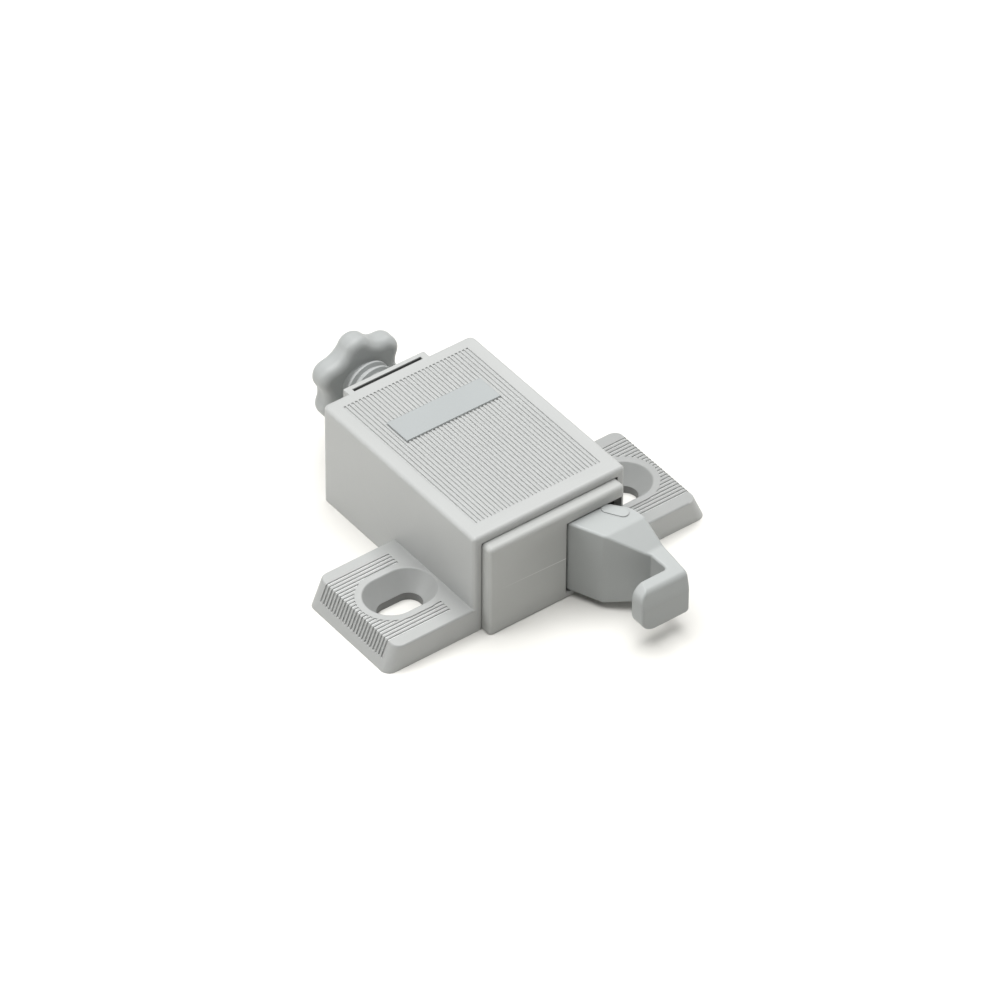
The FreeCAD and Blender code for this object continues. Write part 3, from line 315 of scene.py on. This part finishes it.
def add_seam(tree):
    """A faint seam across the case's front, that fades to the left, drawn as a lighter line: a painted
    highlight where the seam catches the light.
    """
    place = place_of(tree)
    slope = (SEAM_LEFT[1] - SEAM_RIGHT[1]) / (SEAM_LEFT[0] - SEAM_RIGHT[0])
    along = math_node(tree, "SUBTRACT", place["X"], SEAM_RIGHT[0])
    height = math_node(tree, "ADD", math_node(tree, "MULTIPLY", along, slope), SEAM_RIGHT[1])
    off = math_node(tree, "ABSOLUTE", math_node(tree, "SUBTRACT", place["Z"], height))
    line = all_of(
        tree,
        remap(tree, off, (SEAM_HALF, 0.0), UNIT),
        remap(tree, place["X"], (SEAM_LEFT[0], SEAM_RIGHT[0]), UNIT),
        below(tree, place["Y"], SEAM_DEPTH))
    tone_where(tree, line, SEAM_PAINTED_HIGHLIGHT)


# Steel


def drawn_steel(name, colour, rough):
    """Steel wire or pin with fine lines left by drawing."""
    made, tree, shader = new_material(name)
    stretch = add_node(tree, "ShaderNodeMapping", Scale=(1.0, 1.0, 12.0))
    coords = add_node(tree, "ShaderNodeTexCoord").outputs["Object"]
    tree.links.new(coords, stretch.inputs["Vector"])
    lines = noise(tree, stretch.outputs["Vector"], 900.0, 4.0)
    gloss = remap(tree, lines, UNIT, (rough - 0.08, rough + 0.10))
    tree.links.new(gloss, shader.inputs["Roughness"])
    tree.links.new(bump(tree, lines, 0.15, 0.00003), shader.inputs["Normal"])
    shader.inputs["Base Color"].default_value = (*colour, 1.0)
    shader.inputs["Metallic"].default_value = 1.0
    return made


MATERIALS = {
    "housing": moulded_plastic("housing_plastic", HOUSING_GREY, 0.46),
    "inner_case": moulded_plastic("case_plastic", CASE_GREY, 0.48),
    "case_end_cap": moulded_plastic("cap_plastic", CASE_GREY, 0.48),
    "slider": moulded_plastic("slider_plastic", SLIDER_GREY, 0.42),
    "hook": moulded_plastic("hook_plastic", HOOK_GREY, 0.40),
    "adjusting_knob": moulded_plastic("knob_plastic", KNOB_GREY, 0.44),
    "hook_pin": drawn_steel("pin_steel", PIN_STEEL, 0.26),
    "main_spring": drawn_steel("spring_steel", SPRING_STEEL, 0.34),
    "track_follower": drawn_steel("wire_steel", SPRING_STEEL, 0.32),
    "follower_spring": drawn_steel("leaf_steel", SPRING_STEEL, 0.30),
}

housing_tree = MATERIALS["housing"].node_tree
add_label_tone(housing_tree)
add_housing_shade(housing_tree)
add_flange_painted_shade(housing_tree)
add_groove_painted_light(housing_tree, FLANGE_TOP, FLANGE_GROOVE_PAINTED_LIGHT)
add_groove_painted_light(housing_tree, ROOF_TOP, ROOF_GROOVE_PAINTED_LIGHT)
add_side_painted_shade(MATERIALS["hook"].node_tree)
add_case_shade(MATERIALS["inner_case"].node_tree)
add_seam(MATERIALS["inner_case"].node_tree)

for node, material in MATERIALS.items():
    piece = bpy.data.objects[node]
    if not piece.material_slots:
        piece.data.materials.append(material)
    for slot in piece.material_slots:
        slot.material = material


# Main spring: a copy with its own mesh, carried by the case


def make_spring():
    solid = bpy.data.objects["main_spring"]
    spring = bpy.data.objects.new("main_spring_coil", solid.data.copy())
    bpy.context.collection.objects.link(spring)
    spring.matrix_world = solid.matrix_world
    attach(spring, "case")
    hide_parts("main_spring")
    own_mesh(spring)


make_spring()


# Floor, lights and camera


def make_floor():
    bpy.ops.mesh.primitive_plane_add(size=4.0, location=(0.0, 0.0, 0.0))
    floor = bpy.context.object
    floor.name = "floor"
    material, tree, shader = new_material("floor_white")
    shader.inputs["Base Color"].default_value = (*FLOOR_WHITE, 1.0)
    shader.inputs["Roughness"].default_value = 0.9
    shader.inputs["Specular IOR Level"].default_value = 0.1
    floor.data.materials.append(material)


def make_world():
    """White to the camera and through clear things, and softer as a light."""
    world = bpy.data.worlds.new("studio")
    bpy.context.scene.world = world
    world.use_nodes = True
    tree = world.node_tree
    back = tree.nodes["Background"]
    path = add_node(tree, "ShaderNodeLightPath")
    seen = math_node(tree, "MAXIMUM", path.outputs["Is Camera Ray"], path.outputs["Is Transmission Ray"])
    tone = add_node(tree, "ShaderNodeMix", data_type="RGBA")
    tone.inputs["A"].default_value = (*AMBIENT, 1.0)
    tone.inputs["B"].default_value = (1.0, 1.0, 1.0, 1.0)
    tree.links.new(seen, tone.inputs["Factor"])
    tree.links.new(tone.outputs["Result"], back.inputs["Color"])
    back.inputs["Strength"].default_value = 1.0


def add_light(name, place, target, size, power):
    lamp = bpy.data.lights.new(name, "AREA")
    lamp.shape = "DISK"
    lamp.size = size
    lamp.energy = power
    holder = bpy.data.objects.new(name, lamp)
    bpy.context.collection.objects.link(holder)
    holder.location = place
    aim = Vector(target) - Vector(place)
    holder.rotation_euler = aim.to_track_quat("-Z", "Y").to_euler()


def make_camera():
    turn = math.radians(AZIMUTH)
    rise = math.radians(ELEVATION)
    lean = math.radians(ROLL)
    back = Vector((math.sin(turn) * math.cos(rise), -math.cos(turn) * math.cos(rise), math.sin(rise)))
    right = Vector((math.cos(turn), math.sin(turn), 0.0))
    up = back.cross(right)
    tilted_right = right * math.cos(lean) + up * math.sin(lean)
    tilted_up = up * math.cos(lean) - right * math.sin(lean)
    place = back * DISTANCE + tilted_right * SIDE_SHIFT + tilted_up * UP_SHIFT
    data = bpy.data.cameras.new("camera")
    data.lens = LENS
    data.sensor_width = SENSOR
    holder = bpy.data.objects.new("camera", data)
    bpy.context.collection.objects.link(holder)
    axes = Matrix((tilted_right, tilted_up, back)).transposed().to_4x4()
    holder.matrix_world = Matrix.Translation(place) @ axes
    bpy.context.scene.camera = holder


make_floor()
make_world()
add_light("overhead", (-0.03, 0.06, 0.90), (0.0, 0.01, 0.01), 1.00, 12.7)
add_light("rear_left", (-0.80, 0.36, 0.50), (0.0, 0.01, 0.01), 0.50, 3.4)
add_light("rear_right", (0.62, 0.36, 0.50), (0.02, 0.01, 0.01), 0.50, 1.7)
add_light("front_right", (0.55, -0.25, 0.10), (0.03, 0.0, 0.005), 0.20, 0.55)
make_camera()

bpy.context.scene.view_settings.view_transform = "Standard"
